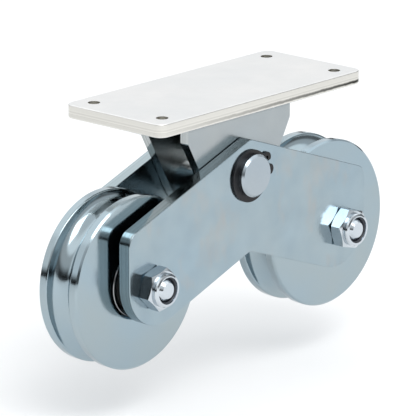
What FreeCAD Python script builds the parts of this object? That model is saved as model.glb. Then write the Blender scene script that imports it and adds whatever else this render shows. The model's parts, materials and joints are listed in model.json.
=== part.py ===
"""Twin-wheel rocking carriage for a sliding gate that runs on a round rail.

Frame: X is the rolling direction, Y runs along the axles, Z points up.
Origin: centre of the mounting plate's top face. All sizes are in millimetres.
The nuts are on the front side (-Y) and the bolt heads on the rear side (+Y).
The wheel at -X is the left one, the wheel at +X is the right one.
"""
import FreeCAD, Part
import math
import os

V = FreeCAD.Vector
AXIS_Y = V(0, 1, 0)

# ---------------------------------------------------------------- driving sizes
# mounting plate
PLATE_LENGTH = 174.0
PLATE_WIDTH = 74.0
PLATE_THICKNESS = 8.0
PLATE_CORNER_R = 6.0
PLATE_EDGE_R = 0.8
HOLE_SPACING_X = 148.0
HOLE_SPACING_Y = 52.0
HOLE_D = 7.0

# heights: pin under the plate's top face, axles under the pin
PIN_DROP = 47.5
AXLE_DROP = 48.5
AXLE_SPACING = 165.0

# wheels, for a round rail of 16 mm
WHEEL_D = 100.0
WHEEL_WIDTH = 29.0
GROOVE_R = 8.5
RIM_CHAMFER = 1.0

# side plates of the rocking frame
SIDE_THICKNESS = 8.0
SIDE_INNER_Y = 18.8
SIDE_END_X = 102.0
SIDE_SLOPE = math.radians(19.85)
SIDE_TOP_Z = 69.3
SIDE_NOTCH_Z = 3.0
SIDE_TOP_R = 6.0
SIDE_UPPER_CORNER_R = 9.0
SIDE_LOWER_CORNER_R = 25.0
SIDE_NOTCH_R = 6.0
SIDE_EDGE_R = 0.4

# pivot bracket, a bent channel under the plate
BRACKET_LENGTH = 87.5
BRACKET_WIDTH = 36.6
BRACKET_THICKNESS = 6.0
BRACKET_BEND_R = 8.0
BRACKET_STRAIGHT = 15.0
BRACKET_NOSE_R = 26.5
BRACKET_SHOULDER_R = 3.0
WELD_LEG = 5.0
WELD_BELLY_OUT = 3.1
WELD_BELLY_DOWN = 3.6
WELD_END_GAP = 2.0

# pivot
PIN_D = 25.0
PIN_LENGTH = 63.7
PIN_CHAMFER = 1.2
RUNNING_GAP = 0.05
FIT_GAP = 0.01
BUSH_D = 30.0
TUBE_D = 50.0
RING_THICKNESS = 1.2
RING_GROOVE_D = 23.9
RING_GROOVE_WIDTH = 1.3
RING_GROOVE_SETBACK = 0.1
RING_D = 30.6
RING_SHIFT = 1.3
RING_EAR_D = 6.6
RING_EAR_HOLE_D = 2.0
RING_EAR_INSET = 0.4
RING_EAR_TURN = math.radians(15)
RING_GAP_WIDTH = 3.2
RING_GAP_ANGLE = 17.0

# axle bolts and locking nuts, M14
BOLT_D = 14.0
BOLT_LENGTH = 65.0
BOLT_HOLE_D = 14.5
BOLT_END_CHAMFER = 2.5
HEX_AF = 22.0
HEX_FACE_SHARE = 0.97
HEX_CHAMFER_ANGLE = math.radians(30)
HEAD_HEIGHT = 8.8
NUT_HEX_HEIGHT = 8.3
NUT_HEIGHT = 11.3
NUT_CROWN_D = 19.6
NUT_LIP_D = 15.6
NUT_SEAT_D = 18.4
NUT_LIP_THICKNESS = 0.8
NUT_CROWN_ROUND = 1.4
NUT_SEAT_STEP = 0.5
INSERT_CHAMFER = 0.5
NUT_TURN_DEGREES = {"left": 15.0, "right": -14.0}

# ball bearings, 17 x 40 x 12, two in each wheel
BEARING_BORE = 17.0
BEARING_D = 40.0
BEARING_WIDTH = 12.0
BEARING_EDGE = 0.8
INNER_RING_D = 24.4
OUTER_RING_BORE = 32.8
BALL_D = 6.74
BALL_COUNT = 8
RACE_GAP = 0.05
CAGE_INNER_D = 27.0
CAGE_OUTER_D = 30.2
CAGE_WIDTH = 8.4
CAGE_POCKET_GAP = 0.12
SEAL_THICKNESS = 0.8
SEAL_INSET = 0.4
SEAL_STEP = 0.7
SEAL_LIP_GAP = 0.1
WHEEL_SHOULDER_D = 34.0

# spacers between each bearing and its side plate
SPACER_COLLAR_D = 21.0
SPACER_BORE = 14.1

# cutters stand this far past the faces that they cut
CUT_PAST = 1.0
# how closely a measured edge has to match a wanted place
NEAR = 0.05

# ---------------------------------------------------------------- derived places
PLATE_BOTTOM_Z = -PLATE_THICKNESS
PIN_Z = -PIN_DROP
AXLE_Z = PIN_Z - AXLE_DROP
SIDE_OUTER_Y = SIDE_INNER_Y + SIDE_THICKNESS
WHEEL_R = WHEEL_D / 2
WHEEL_FACE_Y = WHEEL_WIDTH / 2
BALL_PITCH_R = (INNER_RING_D + OUTER_RING_BORE) / 4
SIDES = {"front": -1, "rear": 1}
WHEEL_X = {"left": -AXLE_SPACING / 2, "right": AXLE_SPACING / 2}


# ---------------------------------------------------------------- helpers
def rod(diameter, y_from, y_to, x=0.0, z=0.0):
    """A cylinder along Y between two planes."""
    start = V(x, min(y_from, y_to), z)
    return Part.makeCylinder(diameter / 2, abs(y_to - y_from), start, AXIS_Y)


def ring(outer, inner, y_from, y_to, x=0.0, z=0.0):
    """A plain round ring or tube along Y."""
    return rod(outer, y_from, y_to, x, z).cut(rod(inner, y_from, y_to, x, z))


def turned(profile, x=0.0, z=0.0):
    """A solid turned about the Y axis from (radius, y) points."""
    points = [V(r, y, 0) for r, y in profile]
    face = Part.Face(Part.makePolygon(points + points[:1]))
    solid = face.revolve(V(0, 0, 0), AXIS_Y, 360)
    solid.translate(V(x, 0, z))
    return solid


def rounded_outline(corners):
    """A closed XZ wire from (x, z, radius) corners, each rounded by an arc."""
    edges = []
    ends = []
    count = len(corners)
    for i in range(count):
        before = V(corners[i - 1][0], 0, corners[i - 1][1])
        here = V(corners[i][0], 0, corners[i][1])
        after = V(corners[(i + 1) % count][0], 0, corners[(i + 1) % count][1])
        into = (here - before).normalize()
        out = (after - here).normalize()
        half_turn = into.getAngle(out) / 2
        radius = corners[i][2]
        trim = radius * math.tan(half_turn)
        start = here - into * trim
        end = here + out * trim
        towards_centre = (out - into).normalize()
        reach = radius / math.cos(half_turn) - radius
        ends.append((start, here + towards_centre * reach, end))
    for i in range(count):
        start, middle, end = ends[i]
        edges.append(Part.Arc(start, middle, end).toShape())
        edges.append(Part.makeLine(end, ends[(i + 1) % count][0]))
    return Part.Wire(edges)


def hexagon(across_flats, y_from, y_to):
    """A hexagonal prism along Y with its corners cut back at both ends."""
    corner_r = across_flats / math.sqrt(3)
    angles = [math.radians(60 * i) for i in range(6)]
    points = [V(corner_r * math.cos(a), y_from, corner_r * math.sin(a)) for a in angles]
    face = Part.Face(Part.makePolygon(points + points[:1]))
    prism = face.extrude(V(0, y_to - y_from, 0))
    edge_r = across_flats / 2 * HEX_FACE_SHARE
    fall = (corner_r - edge_r) * math.tan(HEX_CHAMFER_ANGLE)
    inwards = 1 if y_to > y_from else -1
    envelope = turned([
        (0, y_from),
        (edge_r, y_from),
        (corner_r + FIT_GAP, y_from + inwards * fall),
        (corner_r + FIT_GAP, y_to - inwards * fall),
        (edge_r, y_to),
        (0, y_to),
    ])
    return prism.common(envelope)


def save(shape, node):
    shape.exportStep("parts/" + node + ".step")


# ---------------------------------------------------------------- mounting head
def top_plate():
    plate = Part.makeBox(
        PLATE_LENGTH, PLATE_WIDTH, PLATE_THICKNESS,
        V(-PLATE_LENGTH / 2, -PLATE_WIDTH / 2, PLATE_BOTTOM_Z),
    )
    uprights = [e for e in plate.Edges if e.BoundBox.ZLength > PLATE_THICKNESS - NEAR]
    plate = plate.makeFillet(PLATE_CORNER_R, uprights)
    rims = [e for e in plate.Edges if e.BoundBox.ZLength < NEAR]
    plate = plate.makeFillet(PLATE_EDGE_R, rims)
    for x in (-HOLE_SPACING_X / 2, HOLE_SPACING_X / 2):
        for y in (-HOLE_SPACING_Y / 2, HOLE_SPACING_Y / 2):
            start = V(x, y, PLATE_BOTTOM_Z)
            plate = plate.cut(Part.makeCylinder(HOLE_D / 2, PLATE_THICKNESS, start))
    return plate


def bracket_channel():
    """The bent channel before its cheeks are cut to shape."""
    half = BRACKET_LENGTH / 2
    depth = PIN_DROP - PLATE_THICKNESS + BRACKET_NOSE_R
    outer = Part.makeBox(
        BRACKET_LENGTH, BRACKET_WIDTH, depth,
        V(-half, -BRACKET_WIDTH / 2, PLATE_BOTTOM_Z - depth),
    )
    gap = BRACKET_WIDTH - 2 * BRACKET_THICKNESS
    inner = Part.makeBox(
        BRACKET_LENGTH, gap, depth - BRACKET_THICKNESS,
        V(-half, -gap / 2, PLATE_BOTTOM_Z - depth),
    )

    def bend_edges(box, z):
        return [
            e for e in box.Edges
            if e.BoundBox.XLength > BRACKET_LENGTH - NEAR
            and max(abs(e.BoundBox.ZMin - z), abs(e.BoundBox.ZMax - z)) < NEAR
        ]

    outer = outer.makeFillet(BRACKET_BEND_R, bend_edges(outer, PLATE_BOTTOM_Z))
    inner_top = PLATE_BOTTOM_Z - BRACKET_THICKNESS
    inner_r = BRACKET_BEND_R - BRACKET_THICKNESS
    inner = inner.makeFillet(inner_r, bend_edges(inner, inner_top))
    return outer.cut(inner)


def bracket_outline():
    """Side view of a cheek: upright, then tapering to a round nose at the pin."""
    half = BRACKET_LENGTH / 2
    shoulder_z = PLATE_BOTTOM_Z - BRACKET_STRAIGHT
    rise = shoulder_z - PIN_Z
    reach = math.hypot(half, rise)
    tangent = math.atan2(rise, half) - math.acos(BRACKET_NOSE_R / reach)
    touch = V(BRACKET_NOSE_R * math.cos(tangent), 0, PIN_Z + BRACKET_NOSE_R * math.sin(tangent))
    mirror = V(-touch.x, 0, touch.z)
    top_z = PLATE_BOTTOM_Z
    corners = [V(-half, 0, shoulder_z), V(-half, 0, top_z), V(half, 0, top_z), V(half, 0, shoulder_z)]
    upper = Part.makePolygon([mirror] + corners + [touch])
    nose = Part.Arc(touch, V(0, 0, PIN_Z - BRACKET_NOSE_R), mirror).toShape()
    return Part.Wire(upper.Edges + [nose])


def pivot_bracket():
    outline = Part.Face(bracket_outline())
    outline.translate(V(0, -BRACKET_WIDTH / 2 - CUT_PAST, 0))
    block = outline.extrude(V(0, BRACKET_WIDTH + 2 * CUT_PAST, 0))
    half = BRACKET_LENGTH / 2
    shoulder_z = PLATE_BOTTOM_Z - BRACKET_STRAIGHT
    shoulders = [
        e for e in block.Edges
        if e.BoundBox.YLength > BRACKET_WIDTH and abs(abs(e.BoundBox.XMin) - half) < NEAR
        and abs(e.BoundBox.ZMin - shoulder_z) < NEAR
    ]
    block = block.makeFillet(BRACKET_SHOULDER_R, shoulders)
    bracket = bracket_channel().common(block)
    bore = rod(BUSH_D + 2 * FIT_GAP, -BRACKET_WIDTH, BRACKET_WIDTH, 0, PIN_Z)
    return bracket.cut(bore)


def bracket_weld(side):
    """A fillet weld in the corner between the channel's bend and the plate."""
    sign = SIDES[side]
    length = BRACKET_LENGTH - 2 * WELD_END_GAP
    y_wall = sign * (BRACKET_WIDTH / 2 - BRACKET_BEND_R)
    y_out = sign * (BRACKET_WIDTH / 2 + WELD_LEG)
    z_top = PLATE_BOTTOM_Z
    z_low = z_top - BRACKET_BEND_R
    y_face = sign * BRACKET_WIDTH / 2
    belly = V(-length / 2, y_face + sign * WELD_BELLY_OUT, z_top - WELD_BELLY_DOWN)
    a = V(-length / 2, y_wall, z_top)
    b = V(-length / 2, y_out, z_top)
    c = V(-length / 2, y_face, z_low)
    bend_middle = V(
        -length / 2,
        y_wall + sign * BRACKET_BEND_R * math.sin(math.pi / 4),
        z_low + BRACKET_BEND_R * math.cos(math.pi / 4),
    )
    wire = Part.Wire([
        Part.makeLine(a, b),
        Part.Arc(b, belly, c).toShape(),
        Part.Arc(c, bend_middle, a).toShape(),
    ])
    bead = Part.Face(wire).extrude(V(length, 0, 0))
    return bead.cut(bracket_channel())


def pivot_tube():
    half = BRACKET_WIDTH / 2 - BRACKET_THICKNESS
    return ring(TUBE_D, BUSH_D + 2 * FIT_GAP, -half, half, 0, PIN_Z)


def pivot_bush():
    half = BRACKET_WIDTH / 2
    return ring(BUSH_D, PIN_D + 2 * RUNNING_GAP, -half, half, 0, PIN_Z)


# ---------------------------------------------------------------- rocking frame
def side_outline():
    """Chevron seen from the front, its heights measured from the axle line."""
    slope = math.tan(SIDE_SLOPE)
    end = SIDE_END_X
    upper_z = AXLE_Z + SIDE_TOP_Z - slope * end
    lower_z = AXLE_Z + SIDE_NOTCH_Z - slope * end
    return rounded_outline([
        (-end, lower_z, SIDE_LOWER_CORNER_R),
        (-end, upper_z, SIDE_UPPER_CORNER_R),
        (0, AXLE_Z + SIDE_TOP_Z, SIDE_TOP_R),
        (end, upper_z, SIDE_UPPER_CORNER_R),
        (end, lower_z, SIDE_LOWER_CORNER_R),
        (0, AXLE_Z + SIDE_NOTCH_Z, SIDE_NOTCH_R),
    ])


def side_plate(side):
    sign = SIDES[side]
    face = Part.Face(side_outline())
    face.translate(V(0, sign * SIDE_INNER_Y, 0))
    plate = face.extrude(V(0, sign * SIDE_THICKNESS, 0))
    rims = [e for e in plate.Edges if e.BoundBox.YLength < NEAR]
    plate = plate.makeFillet(SIDE_EDGE_R, rims)
    near = sign * (SIDE_INNER_Y - CUT_PAST)
    far = sign * (SIDE_OUTER_Y + CUT_PAST)
    plate = plate.cut(rod(PIN_D + 2 * FIT_GAP, near, far, 0, PIN_Z))
    for x in WHEEL_X.values():
        plate = plate.cut(rod(BOLT_HOLE_D, near, far, x, AXLE_Z))
    return plate


def pivot_pin():
    half = PIN_LENGTH / 2
    r = PIN_D / 2
    groove_r = RING_GROOVE_D / 2
    groove_in = SIDE_OUTER_Y + RING_GROOVE_SETBACK
    groove_out = groove_in + RING_GROOVE_WIDTH
    upper = [
        (0, half),
        (r - PIN_CHAMFER, half),
        (r, half - PIN_CHAMFER),
        (r, groove_out),
        (groove_r, groove_out),
        (groove_r, groove_in),
        (r, groove_in),
    ]
    lower = [(radius, -y) for radius, y in reversed(upper)]
    return turned(upper + lower, 0, PIN_Z)


def retaining_ring(side):
    """External retaining ring: eccentric body, open gap and two drilled ears."""
    sign = SIDES[side]
    play = (RING_GROOVE_WIDTH - RING_THICKNESS) / 2
    y_in = sign * (SIDE_OUTER_Y + RING_GROOVE_SETBACK + play)
    y_out = y_in + sign * RING_THICKNESS
    gap_direction = math.radians(RING_GAP_ANGLE)
    along = V(math.cos(gap_direction), 0, math.sin(gap_direction))
    bore_d = RING_GROOVE_D + 2 * FIT_GAP
    centre = along * -RING_SHIFT
    body = rod(RING_D, y_in, y_out, centre.x, centre.z)
    ear_r = bore_d / 2 + RING_EAR_D / 2 - RING_EAR_INSET
    holes = []
    for turn in (-RING_EAR_TURN, RING_EAR_TURN):
        ear_x = ear_r * math.cos(gap_direction + turn)
        ear_z = ear_r * math.sin(gap_direction + turn)
        body = body.fuse(rod(RING_EAR_D, y_in, y_out, ear_x, ear_z))
        holes.append(rod(RING_EAR_HOLE_D, y_in, y_out, ear_x, ear_z))
    body = body.removeSplitter()
    for hole in holes:
        body = body.cut(hole)
    body = body.cut(rod(bore_d, y_in, y_out))
    slot = Part.makeBox(RING_D, 3 * RING_THICKNESS, RING_GAP_WIDTH, V(0, 0, -RING_GAP_WIDTH / 2))
    slot.rotate(V(0, 0, 0), AXIS_Y, -RING_GAP_ANGLE)
    slot.translate(V(0, min(y_in, y_out) - RING_THICKNESS, 0))
    body = body.cut(slot)
    body.translate(V(0, 0, PIN_Z))
    return body


# ---------------------------------------------------------------- axle hardware
def axle_bolt(x):
    """Hexagon bolt, head at the rear, its chamfered end level with the nut's top."""
    seat = SIDE_OUTER_Y
    tip = seat - BOLT_LENGTH
    head = hexagon(HEX_AF, seat, seat + HEAD_HEIGHT)
    r = BOLT_D / 2
    shank = turned([
        (0, seat),
        (r, seat),
        (r, tip + BOLT_END_CHAMFER),
        (r - BOLT_END_CHAMFER, tip),
        (0, tip),
    ])
    bolt = head.fuse(shank).removeSplitter()
    bolt.translate(V(x, 0, AXLE_Z))
    return bolt


def axle_nut(wheel, x):
    """Thin locking nut: hexagon, round crown and a lip over the insert."""
    seat = -SIDE_OUTER_Y
    hex_end = seat - NUT_HEX_HEIGHT
    top = seat - NUT_HEIGHT
    crown_r = NUT_CROWN_D / 2
    bevel = NUT_CROWN_ROUND * (1 - math.sqrt(0.5))
    nut = hexagon(HEX_AF, seat, hex_end)
    crown = turned([
        (0, hex_end + CUT_PAST),
        (crown_r, hex_end + CUT_PAST),
        (crown_r, top + NUT_CROWN_ROUND),
        (crown_r - bevel, top + bevel),
        (crown_r - NUT_CROWN_ROUND, top),
        (0, top),
    ])
    nut = nut.fuse(crown).removeSplitter()
    bore = rod(BOLT_D + 2 * FIT_GAP, seat + CUT_PAST, top - CUT_PAST)
    mouth = rod(NUT_LIP_D, hex_end, top - CUT_PAST)
    seat_room = rod(NUT_SEAT_D, hex_end + NUT_SEAT_STEP, top + NUT_LIP_THICKNESS)
    nut = nut.cut(bore).cut(mouth).cut(seat_room)
    nut.rotate(V(0, 0, 0), AXIS_Y, -NUT_TURN_DEGREES[wheel])
    nut.translate(V(x, 0, AXLE_Z))
    return nut


def nut_insert(x):
    y_deep = -SIDE_OUTER_Y - NUT_HEX_HEIGHT + NUT_SEAT_STEP - FIT_GAP
    y_shallow = -SIDE_OUTER_Y - NUT_HEIGHT + NUT_LIP_THICKNESS + FIT_GAP
    outer_r = NUT_SEAT_D / 2 - FIT_GAP
    inner_r = BOLT_D / 2 + FIT_GAP
    insert = turned([
        (inner_r, y_deep),
        (outer_r, y_deep),
        (outer_r, y_shallow),
        (inner_r + INSERT_CHAMFER, y_shallow),
        (inner_r, y_shallow + INSERT_CHAMFER),
    ])
    insert.translate(V(x, 0, AXLE_Z))
    return insert


def axle_spacer(side, x):
    """Collar between bearing and side plate, with a spigot through the bearing."""
    sign = SIDES[side]
    collar_r = SPACER_COLLAR_D / 2
    spigot_r = BEARING_BORE / 2 - FIT_GAP
    bore_r = SPACER_BORE / 2
    return turned([
        (bore_r, sign * FIT_GAP),
        (spigot_r, sign * FIT_GAP),
        (spigot_r, sign * WHEEL_FACE_Y),
        (collar_r, sign * WHEEL_FACE_Y),
        (collar_r, sign * SIDE_INNER_Y),
        (bore_r, sign * SIDE_INNER_Y),
    ], x, AXLE_Z)


# ---------------------------------------------------------------- wheels
def grooved_wheel(x):
    """Steel wheel with a half-round rail groove and a seat for two bearings."""
    half = WHEEL_FACE_Y
    seat_r = BEARING_D / 2 + FIT_GAP
    shoulder_r = WHEEL_SHOULDER_D / 2
    shoulder_y = half - BEARING_WIDTH
    blank = turned([
        (shoulder_r, -shoulder_y),
        (seat_r, -shoulder_y),
        (seat_r, -half),
        (WHEEL_R - RIM_CHAMFER, -half),
        (WHEEL_R, -half + RIM_CHAMFER),
        (WHEEL_R, half - RIM_CHAMFER),
        (WHEEL_R - RIM_CHAMFER, half),
        (seat_r, half),
        (seat_r, shoulder_y),
        (shoulder_r, shoulder_y),
    ])
    groove = Part.makeTorus(WHEEL_R, GROOVE_R, V(0, 0, 0), AXIS_Y)
    wheel = blank.cut(groove)
    mouths = [
        e for e in wheel.Edges
        if abs(abs(e.BoundBox.YMin) - GROOVE_R) < NEAR and e.BoundBox.YLength < NEAR
        and e.BoundBox.XLength > WHEEL_D - 2 * NEAR
    ]
    wheel = wheel.makeFillet(RIM_CHAMFER, mouths)
    wheel.translate(V(x, 0, AXLE_Z))
    return wheel


def ball_centres():
    turns = [2 * math.pi * i / BALL_COUNT for i in range(BALL_COUNT)]
    return [V(BALL_PITCH_R * math.cos(t), 0, BALL_PITCH_R * math.sin(t)) for t in turns]


def race():
    return Part.makeTorus(BALL_PITCH_R, BALL_D / 2 + RACE_GAP, V(0, 0, 0), AXIS_Y)


def outer_ring():
    half = BEARING_WIDTH / 2
    r_out = BEARING_D / 2
    r_in = OUTER_RING_BORE / 2
    step_r = r_in + SEAL_STEP
    step_y = half - SEAL_INSET - SEAL_THICKNESS
    blank = turned([
        (r_in, -step_y),
        (step_r, -step_y),
        (step_r, -half),
        (r_out - BEARING_EDGE, -half),
        (r_out, -half + BEARING_EDGE),
        (r_out, half - BEARING_EDGE),
        (r_out - BEARING_EDGE, half),
        (step_r, half),
        (step_r, step_y),
        (r_in, step_y),
    ])
    return blank.cut(race())


def inner_ring():
    half = BEARING_WIDTH / 2
    r_in = BEARING_BORE / 2
    r_out = INNER_RING_D / 2
    blank = turned([
        (r_in, -half + BEARING_EDGE),
        (r_in + BEARING_EDGE, -half),
        (r_out, -half),
        (r_out, half),
        (r_in + BEARING_EDGE, half),
        (r_in, half - BEARING_EDGE),
    ])
    return blank.cut(race())


def balls():
    return Part.makeCompound([Part.makeSphere(BALL_D / 2, c) for c in ball_centres()])


def ball_cage():
    """A band between the rings with a drilled pocket for each ball."""
    cage = ring(CAGE_OUTER_D, CAGE_INNER_D, -CAGE_WIDTH / 2, CAGE_WIDTH / 2)
    pocket_r = BALL_D / 2 + CAGE_POCKET_GAP
    for centre in ball_centres():
        cage = cage.cut(Part.makeCylinder(pocket_r, CAGE_OUTER_D, V(0, 0, 0), centre))
    return cage


def seals():
    """Two rubber seals, held in the outer ring and just clear of the inner one."""
    inner_d = INNER_RING_D + 2 * SEAL_LIP_GAP
    outer_d = OUTER_RING_BORE + 2 * SEAL_STEP - 2 * FIT_GAP
    y_out = BEARING_WIDTH / 2 - SEAL_INSET
    y_in = y_out - SEAL_THICKNESS + FIT_GAP
    pair = [ring(outer_d, inner_d, sign * y_in, sign * y_out) for sign in (-1, 1)]
    return Part.makeCompound(pair)


BEARING_PIECES = {
    "outer_ring": outer_ring,
    "inner_ring": inner_ring,
    "balls": balls,
    "cage": ball_cage,
    "seals": seals,
}


def save_bearing(wheel, side, x):
    centre_y = SIDES[side] * (WHEEL_FACE_Y - BEARING_WIDTH / 2)
    for piece, make in BEARING_PIECES.items():
        shape = make()
        shape.translate(V(x, centre_y, AXLE_Z))
        save(shape, wheel + "_" + side + "_bearing_" + piece)


# ---------------------------------------------------------------- write the nodes
os.makedirs("parts", exist_ok=True)

save(top_plate(), "top_plate")
save(pivot_bracket(), "pivot_bracket")
save(pivot_tube(), "pivot_tube")
save(pivot_bush(), "pivot_bush")
save(pivot_pin(), "pivot_pin")

for side in SIDES:
    save(bracket_weld(side), "bracket_weld_" + side)
    save(side_plate(side), "side_plate_" + side)
    save(retaining_ring(side), "retaining_ring_" + side)

for wheel, x in WHEEL_X.items():
    save(grooved_wheel(x), wheel + "_wheel")
    save(axle_bolt(x), wheel + "_axle_bolt")
    save(axle_nut(wheel, x), wheel + "_axle_nut")
    save(nut_insert(x), wheel + "_nut_insert")
    for side in SIDES:
        save(axle_spacer(side, x), wheel + "_" + side + "_spacer")
        save_bearing(wheel, side, x)
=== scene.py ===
"""Looks for the tandem gate wheel carriage: zinc plated steel on a white sheet.

Metres. X is the rolling direction, Y runs along the axles, Z points up.
"""

import json
import math

import bmesh
import bpy
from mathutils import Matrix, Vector


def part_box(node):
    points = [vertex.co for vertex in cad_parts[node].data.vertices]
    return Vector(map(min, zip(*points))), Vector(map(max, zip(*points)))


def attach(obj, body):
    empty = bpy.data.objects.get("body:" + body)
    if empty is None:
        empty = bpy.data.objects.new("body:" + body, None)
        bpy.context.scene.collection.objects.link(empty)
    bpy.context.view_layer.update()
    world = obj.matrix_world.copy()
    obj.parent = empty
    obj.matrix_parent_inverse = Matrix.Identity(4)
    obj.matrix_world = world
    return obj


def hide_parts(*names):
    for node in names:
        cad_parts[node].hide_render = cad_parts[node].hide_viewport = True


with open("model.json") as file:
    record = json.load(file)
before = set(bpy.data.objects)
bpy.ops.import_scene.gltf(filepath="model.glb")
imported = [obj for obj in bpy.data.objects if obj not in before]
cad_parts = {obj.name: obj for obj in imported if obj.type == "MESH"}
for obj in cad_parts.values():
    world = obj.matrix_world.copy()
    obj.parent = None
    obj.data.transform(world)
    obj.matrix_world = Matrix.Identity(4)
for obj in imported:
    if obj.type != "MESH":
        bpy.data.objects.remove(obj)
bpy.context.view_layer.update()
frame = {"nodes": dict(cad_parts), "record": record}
nodes = frame["nodes"]

# the floor lies this far under the wheels, so that the rocked frame clears it
ROCKING_ROOM = 0.031
FLOOR_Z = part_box("left_wheel")[0].z - ROCKING_ROOM

PLATE_BOTTOM_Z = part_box("top_plate")[0].z


# ------------------------------------------------------------------ node helpers
class Tree:
    """A short way to add nodes and links to a node tree."""

    def __init__(self, tree):
        self.tree = tree
        tree.nodes.clear()

    def add(self, kind, inputs=None, **settings):
        made = self.tree.nodes.new(kind)
        for name, value in settings.items():
            setattr(made, name, value)
        for name, value in (inputs or {}).items():
            socket = made.inputs[name]
            if isinstance(value, bpy.types.NodeSocket):
                self.tree.links.new(value, socket)
            else:
                socket.default_value = value
        return made

    def math(self, operation, a, b=0.0):
        return self.add("ShaderNodeMath", {0: a, 1: b}, operation=operation).outputs[0]

    def vector_math(self, operation, a, b):
        return self.add("ShaderNodeVectorMath", {0: a, 1: b}, operation=operation)

    def noise(self, vector, scale, detail=3.0, roughness=0.5):
        made = self.add("ShaderNodeTexNoise", {
            "Vector": vector, "Scale": scale, "Detail": detail, "Roughness": roughness,
        })
        return made.outputs["Fac"]

    def line_noise(self, value, scale, detail=2.0):
        made = self.add("ShaderNodeTexNoise", {
            "W": value, "Scale": scale, "Detail": detail,
        }, noise_dimensions="1D")
        return made.outputs["Fac"]

    def spread(self, value, low, high, from_low=0.3, from_high=0.7):
        made = self.add("ShaderNodeMapRange", {
            "Value": value, "From Min": from_low, "From Max": from_high,
            "To Min": low, "To Max": high,
        })
        return made.outputs["Result"]

    def mix(self, factor, a, b):
        made = self.add("ShaderNodeMix", data_type="RGBA")
        for index, value in ((0, factor), (6, a), (7, b)):
            socket = made.inputs[index]
            if isinstance(value, bpy.types.NodeSocket):
                self.tree.links.new(value, socket)
            elif index == 0:
                socket.default_value = value
            else:
                socket.default_value = (*value, 1.0)
        return made.outputs[2]

    def bump(self, height, strength, distance, normal=None):
        inputs = {"Height": height, "Strength": strength, "Distance": distance}
        if normal is not None:
            inputs["Normal"] = normal
        return self.add("ShaderNodeBump", inputs).outputs["Normal"]


def scaled(colour, factor):
    return tuple(min(c * factor, 1.0) for c in colour)


def finish_surface(t, colour, roughness, normal, metallic):
    surface = t.add("ShaderNodeBsdfPrincipled", {"Metallic": metallic})
    t.tree.links.new(colour, surface.inputs["Base Color"])
    t.tree.links.new(roughness, surface.inputs["Roughness"])
    t.tree.links.new(normal, surface.inputs["Normal"])
    output = t.add("ShaderNodeOutputMaterial")
    t.tree.links.new(surface.outputs["BSDF"], output.inputs["Surface"])


# ------------------------------------------------------------------ materials
# the painted shade line's lower and upper border on the mounting plate's edge, each from clear
# to dark
EDGE_SHADE_LOWER_BORDER = (-0.0071, -0.0064)
EDGE_SHADE_UPPER_BORDER = (-0.0056, -0.0048)
EDGE_SHADE_RAGGEDNESS = 0.0002
# colour of the painted shade line on the mounting plate's edge
EDGE_SHADE_COLOUR = (0.035, 0.035, 0.03)


def edge_shade_mask(t, place):
    """Painted shade on the plate's edge: a ragged near-black line low on the edge, stronger
    towards +X.
    """
    axes = t.add("ShaderNodeSeparateXYZ", {0: place})
    ragged = t.spread(t.noise(place, 260.0, 4.0), -EDGE_SHADE_RAGGEDNESS, EDGE_SHADE_RAGGEDNESS)
    height = t.math("ADD", axes.outputs["Z"], ragged)
    above = t.spread(height, 0.0, 1.0, *EDGE_SHADE_LOWER_BORDER)
    below = t.spread(height, 1.0, 0.0, *EDGE_SHADE_UPPER_BORDER)
    along = t.spread(axes.outputs["X"], 0.08, 1.0, -0.08, 0.08)
    return t.math("MULTIPLY", t.math("MULTIPLY", above, below), along)


STAIN_COLOUR = (0.44, 0.37, 0.31)


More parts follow.
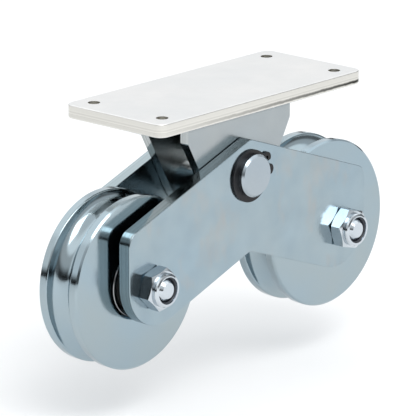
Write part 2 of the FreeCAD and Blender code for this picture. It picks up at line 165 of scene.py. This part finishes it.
def zinc(name, colour, tint, rough, edge=None, edge_rough=0.4, face_axis="Y",
         waves=0.25, grain=0.12, mottle=0.35, stain_amount=0.0, paints_edge_shade=False):
    """Plated steel: cloudy tint, uneven gloss, slight waviness and fine grain.

    edge is the tone of cut edges, the faces that don't look along face_axis.
    stain_amount is the strength of a few warm upright marks where the plating is thin.
    The flag at the end paints shade on the mounting plate's edge: a ragged near-black line low
    down, darker towards +X.
    """
    material = bpy.data.materials.new(name)
    material.use_nodes = True
    t = Tree(material.node_tree)
    place = t.add("ShaderNodeTexCoord").outputs["Object"]
    cloud = t.noise(place, 22.0, 4.0)
    patch = t.noise(place, 70.0, 3.0)
    speck = t.noise(place, 1500.0, 2.0)
    base = t.mix(t.spread(cloud, 0.0, 1.0), colour, tint)
    base = t.mix(t.spread(patch, 0.0, mottle), base, scaled(colour, 0.86))
    base = t.mix(t.spread(speck, 0.12, 0.0), base, scaled(colour, 0.7))
    if stain_amount:
        upright = t.add("ShaderNodeMapping", {"Vector": place, "Scale": (1.0, 1.0, 0.45)})
        marks = t.noise(upright.outputs[0], 62.0, 4.0, 0.62)
        base = t.mix(t.spread(marks, 0.0, stain_amount, 0.53, 0.72), base, STAIN_COLOUR)
    uneven = 0.11 * mottle
    rough_value = t.spread(patch, rough - 0.4 * uneven, rough + 0.6 * uneven)
    rough_value = t.math("ADD", rough_value, t.spread(speck, 0.0, 0.03))
    if edge:
        facing = t.add("ShaderNodeTexCoord").outputs["Normal"]
        facing_axes = t.add("ShaderNodeSeparateXYZ", {0: facing})
        side_on = t.math("ABSOLUTE", facing_axes.outputs[face_axis])
        cut = t.spread(side_on, 1.0, 0.0, 0.3, 0.6)
        depth = t.add("ShaderNodeSeparateXYZ", {0: place}).outputs[face_axis]
        streak = t.line_noise(depth, 900.0, 3.0)
        edge_colour = t.mix(t.spread(streak, 0.0, 1.0), edge, scaled(edge, 0.75))
        # painted shade: a near-black line low on the mounting plate's edge, darker towards +X
        if paints_edge_shade:
            edge_colour = t.mix(edge_shade_mask(t, place), edge_colour, EDGE_SHADE_COLOUR)
        base = t.mix(cut, base, edge_colour)
        edge_value = t.spread(streak, edge_rough - 0.04, edge_rough + 0.06)
        blended = t.add("ShaderNodeMix", {0: cut, 2: rough_value, 3: edge_value})
        rough_value = blended.outputs[0]
    normal = t.bump(t.noise(place, 45.0, 2.0), waves, 0.0008)
    normal = t.bump(speck, grain, 0.00005, normal)
    finish_surface(t, base, rough_value, normal, 1.0)
    return material


TURNING_MARKS_PER_METRE = 2600.0


def turned_zinc(name, centre, colour, tint, rough):
    """Plated turned steel with fine rings round the axis along Y through centre."""
    material = bpy.data.materials.new(name)
    material.use_nodes = True
    t = Tree(material.node_tree)
    place = t.add("ShaderNodeTexCoord").outputs["Object"]
    offset = t.vector_math("SUBTRACT", place, centre).outputs[0]
    flat = t.vector_math("MULTIPLY", offset, (1.0, 0.0, 1.0)).outputs[0]
    radius = t.add("ShaderNodeVectorMath", {0: flat}, operation="LENGTH").outputs["Value"]
    along = t.add("ShaderNodeSeparateXYZ", {0: offset}).outputs["Y"]
    path = t.math("ADD", radius, t.math("MULTIPLY", along, 0.83))
    rings = t.line_noise(path, TURNING_MARKS_PER_METRE, 3.0)
    cloud = t.noise(place, 26.0, 4.0)
    patch = t.noise(place, 80.0, 3.0)
    base = t.mix(t.spread(cloud, 0.0, 1.0), colour, tint)
    base = t.mix(t.spread(rings, 0.0, 0.25), base, scaled(colour, 0.8))
    uneven = t.spread(patch, rough - 0.02, rough + 0.04)
    rough_value = t.math("ADD", uneven, t.spread(rings, 0.0, 0.03))
    normal = t.bump(t.noise(place, 40.0, 2.0), 0.12, 0.0006)
    normal = t.bump(rings, 0.2, 0.00003, normal)
    finish_surface(t, base, rough_value, normal, 1.0)
    return material


def plain(name, colour, rough, metallic=0.0, grain_scale=900.0, grain=0.3):
    """A simple cast, moulded or coated surface with grain and uneven gloss."""
    material = bpy.data.materials.new(name)
    material.use_nodes = True
    t = Tree(material.node_tree)
    place = t.add("ShaderNodeTexCoord").outputs["Object"]
    cloud = t.noise(place, 60.0, 3.0)
    speck = t.noise(place, grain_scale, 2.0)
    base = t.mix(t.spread(cloud, 0.0, 1.0), scaled(colour, 0.88), scaled(colour, 1.1))
    base = t.mix(t.spread(speck, 0.2, 0.0), base, scaled(colour, 0.6))
    rough_value = t.spread(cloud, rough - 0.05, rough + 0.06)
    normal = t.bump(speck, grain, 0.00006)
    finish_surface(t, base, rough_value, normal, metallic)
    return material


LEFT_AXLE = Vector((-0.0825, 0.0, -0.096))
RIGHT_AXLE = Vector((0.0825, 0.0, -0.096))
PIN_CENTRE = Vector((0.0, 0.0, -0.0475))

STEEL = (0.32, 0.41, 0.465)
STEEL_WARM = (0.35, 0.41, 0.43)

looks = {
    # the mounting plate's edge carries a painted shade line low down
    "plate_zinc": zinc("plate_zinc_look", (0.75, 0.755, 0.75), (0.81, 0.80, 0.785), 0.34,
                       edge=(0.80, 0.785, 0.735), edge_rough=0.3, face_axis="Z",
                       waves=0.015, grain=0.2, mottle=0.2, paints_edge_shade=True),
    "bracket_zinc": zinc("bracket_zinc_look", (0.37, 0.415, 0.44), (0.40, 0.42, 0.42), 0.22,
                         edge=(0.46, 0.49, 0.49), edge_rough=0.14),
    "weld_zinc": zinc("weld_zinc_look", (0.40, 0.44, 0.46), (0.46, 0.46, 0.44), 0.32),
    "side_zinc": zinc("side_zinc_look", STEEL, STEEL_WARM, 0.17,
                      edge=(0.36, 0.43, 0.455), edge_rough=0.1, mottle=0.55, stain_amount=0.34),
    "fastener_zinc": zinc("fastener_zinc_look", (0.54, 0.60, 0.65), (0.60, 0.63, 0.65), 0.11,
                          waves=0.1),
    "pin_zinc": turned_zinc("pin_zinc_look", PIN_CENTRE,
                            (0.37, 0.43, 0.48), (0.40, 0.44, 0.46), 0.2),
    "spacer_steel": zinc("spacer_steel_look", (0.55, 0.59, 0.62), (0.58, 0.60, 0.60), 0.25),
    "black_phosphate": plain("black_phosphate_look", (0.018, 0.018, 0.02), 0.38, 0.6),
    "bush_bronze": plain("bush_bronze_look", (0.42, 0.26, 0.12), 0.38, 1.0, 2500.0),
    # painted shade: the bearing steel is darkened so the gap at the wheel's bore reads dark
    "bearing_steel": plain("bearing_steel_painted_shade_look", (0.30, 0.31, 0.32), 0.2, 1.0, 1800.0, 0.08),
    "cage_steel": plain("cage_steel_look", (0.42, 0.43, 0.44), 0.3, 1.0),
    "seal_rubber": plain("seal_rubber_look", (0.02, 0.02, 0.02), 0.55),
    # near-black insert: it makes the ring between the nut's crown and the bolt end dark
    "nylon": plain("nylon_look", (0.03, 0.035, 0.045), 0.42, 0.0, 700.0, 0.15),
}
wheel_looks = {
    "left_wheel": turned_zinc("left_wheel_zinc_look", LEFT_AXLE, STEEL, STEEL_WARM, 0.1),
    "right_wheel": turned_zinc("right_wheel_zinc_look", RIGHT_AXLE, STEEL, STEEL_WARM, 0.1),
}

slot_of = {part["node"]: part["material_slot"] for part in frame["record"]["subparts"]}
for node_name, piece in nodes.items():
    look = wheel_looks.get(node_name) or looks[slot_of[node_name]]
    piece.data.materials.clear()
    piece.data.materials.append(look)


# ------------------------------------------------------------------ weld beads
CHEEK_OUTER_Y = 0.0172
WELD_LEG = 0.0047
# how far the bead's root lies inside the cheek's outer face
WELD_ROOT = 0.0012
WELD_RIPPLES = 23
BEAD_SECTIONS = 150
BEAD_SECTION_STEPS = 14


def weld_bead(name, node_name, side):
    """A rippled fillet bead that fills the CAD weld's own space. side is -1 front, 1 rear."""
    low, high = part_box(node_name)
    length = high.x - low.x
    cheek_y = side * CHEEK_OUTER_Y
    mesh = bmesh.new()
    rows = []
    for i in range(BEAD_SECTIONS + 1):
        along = i / BEAD_SECTIONS
        x = low.x + length * along
        wave = math.sin(along * math.pi * 2 * WELD_RIPPLES)
        fade = min(1.0, along * 14.0, (1.0 - along) * 14.0) ** 0.5
        lift = 0.00022 * wave + 0.00012 * math.sin(along * 61.0)
        row = []
        for j in range(BEAD_SECTION_STEPS + 1):
            turn = math.pi / 2 * j / BEAD_SECTION_STEPS
            reach = (WELD_LEG + lift * math.sin(2.0 * turn)) * fade
            bulge = 1.0 - 0.20 * math.sin(2.0 * turn)
            y = cheek_y - side * WELD_ROOT + side * (WELD_ROOT + reach * math.cos(turn) * bulge)
            z = PLATE_BOTTOM_Z - (reach * math.sin(turn) * bulge) * 1.25
            shift = 0.0005 * math.sin(2.0 * turn)
            row.append(mesh.verts.new((x - shift * fade, y, z)))
        upper_root = mesh.verts.new((x, cheek_y - side * 0.0055, PLATE_BOTTOM_Z))
        lower_root = mesh.verts.new((x, cheek_y - side * 0.0008, PLATE_BOTTOM_Z - 0.0048))
        rows.append([upper_root, *row, lower_root])
    count = len(rows[0])
    for first, second in zip(rows, rows[1:]):
        for j in range(count):
            k = (j + 1) % count
            mesh.faces.new((first[j], first[k], second[k], second[j]))
    mesh.faces.new(rows[0])
    mesh.faces.new(list(reversed(rows[-1])))
    bmesh.ops.recalc_face_normals(mesh, faces=mesh.faces[:])
    data = bpy.data.meshes.new(name)
    mesh.to_mesh(data)
    mesh.free()
    data.shade_smooth()
    bead = bpy.data.objects.new(name, data)
    bpy.context.scene.collection.objects.link(bead)
    data.materials.append(looks["weld_zinc"])
    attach(bead, "mounting_head")
    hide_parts(node_name)


weld_bead("weld_bead_front", "bracket_weld_front", -1)
weld_bead("weld_bead_rear", "bracket_weld_rear", 1)


# ------------------------------------------------------------------ floor and light
def flat_sheet(name, x_from, x_to, y_from, y_to, z, material):
    data = bpy.data.meshes.new(name)
    corners = [(x_from, y_from, z), (x_to, y_from, z), (x_to, y_to, z), (x_from, y_to, z)]
    data.from_pydata(corners, [], [(0, 1, 2, 3)])
    data.materials.append(material)
    sheet = bpy.data.objects.new(name, data)
    bpy.context.scene.collection.objects.link(sheet)


def paper_material():
    """Matt white paper."""
    paper = bpy.data.materials.new("white_paper")
    paper.use_nodes = True
    t = Tree(paper.node_tree)
    sheet = t.add("ShaderNodeBsdfDiffuse", {"Color": (0.95, 0.95, 0.95, 1.0)})
    t.add("ShaderNodeOutputMaterial", {"Surface": sheet.outputs[0]})
    return paper


flat_sheet("floor", -6.0, 6.0, -6.0, 6.0, FLOOR_Z, paper_material())


MIDDLE = Vector((0.0, 0.0, -0.07))


def softbox(name, place, size, power):
    light = bpy.data.lights.new(name, "AREA")
    light.shape = "RECTANGLE"
    light.size, light.size_y = size
    light.energy = power
    lamp = bpy.data.objects.new(name, light)
    lamp.location = place
    lamp.rotation_euler = (MIDDLE - Vector(place)).to_track_quat("-Z", "Y").to_euler()
    lamp.visible_camera = False
    bpy.context.scene.collection.objects.link(lamp)


softbox("softbox_front_top", (-0.35, -0.75, 1.0), (0.9, 0.6), 7.0)


def studio_world():
    """Soft white room: bright above and behind, dimmer near the horizon.

    Matt surfaces get even light from all round, and the camera sees plain white.
    """
    world = bpy.data.worlds.new("studio")
    bpy.context.scene.world = world
    world.use_nodes = True
    t = Tree(world.node_tree)
    towards = t.add("ShaderNodeTexCoord").outputs["Generated"]

    def facing(direction, start, full):
        dot = t.vector_math("DOT_PRODUCT", towards, direction)
        return t.add("ShaderNodeMapRange", {
            "Value": dot.outputs["Value"], "From Min": start, "From Max": full,
        }, interpolation_type="SMOOTHSTEP").outputs["Result"]

    up = (0.0, 0.0, 1.0)
    above = facing(up, 0.42, 0.66)
    overhead = t.math("MULTIPLY", facing(up, 0.80, 0.97), -0.45)
    ring = t.math("MULTIPLY", facing(up, 0.10, 0.36), 0.75)
    behind = t.math("MULTIPLY", facing((0.25, 0.97, 0.0), 0.05, 0.45), facing(up, 0.04, 0.20))
    glow = t.math("MAXIMUM", t.math("MULTIPLY", above, 1.5), t.math("MULTIPLY", behind, 1.15))
    glow = t.math("ADD", t.math("MAXIMUM", glow, ring), overhead)
    front = t.math("MULTIPLY", facing((0.45, -0.89, 0.0), 0.1, 0.6), 0.2)
    glow = t.math("MAXIMUM", glow, t.math("ADD", front, 0.015))
    rays = t.add("ShaderNodeLightPath")
    even = t.add("ShaderNodeMix", {0: rays.outputs["Is Diffuse Ray"], 2: glow, 3: 1.05})
    seen = t.add("ShaderNodeBackground", {"Color": (1.0, 1.0, 1.0, 1.0), "Strength": 1.0})
    room = t.add("ShaderNodeBackground", {
        "Color": (0.97, 0.985, 1.0, 1.0), "Strength": even.outputs[0],
    })
    both = t.add("ShaderNodeMixShader", {
        0: rays.outputs["Is Camera Ray"], 1: room.outputs[0], 2: seen.outputs[0],
    })
    t.add("ShaderNodeOutputWorld", {"Surface": both.outputs[0]})


studio_world()

# ------------------------------------------------------------------ camera
camera_data = bpy.data.cameras.new("camera")
camera_data.sensor_width = 36.0
camera_data.lens = 360.0
camera_data.clip_end = 30.0
camera = bpy.data.objects.new("camera", camera_data)
bpy.context.scene.collection.objects.link(camera)
camera.location = (-1.7238, -1.5353, 0.5781)
view_line = Vector((-0.0034, 0.0030, -0.0722)) - camera.location
camera.rotation_mode = "QUATERNION"
camera.rotation_quaternion = view_line.to_track_quat("-Z", "Y")
bpy.context.scene.camera = camera
bpy.context.scene.view_settings.view_transform = "Standard"
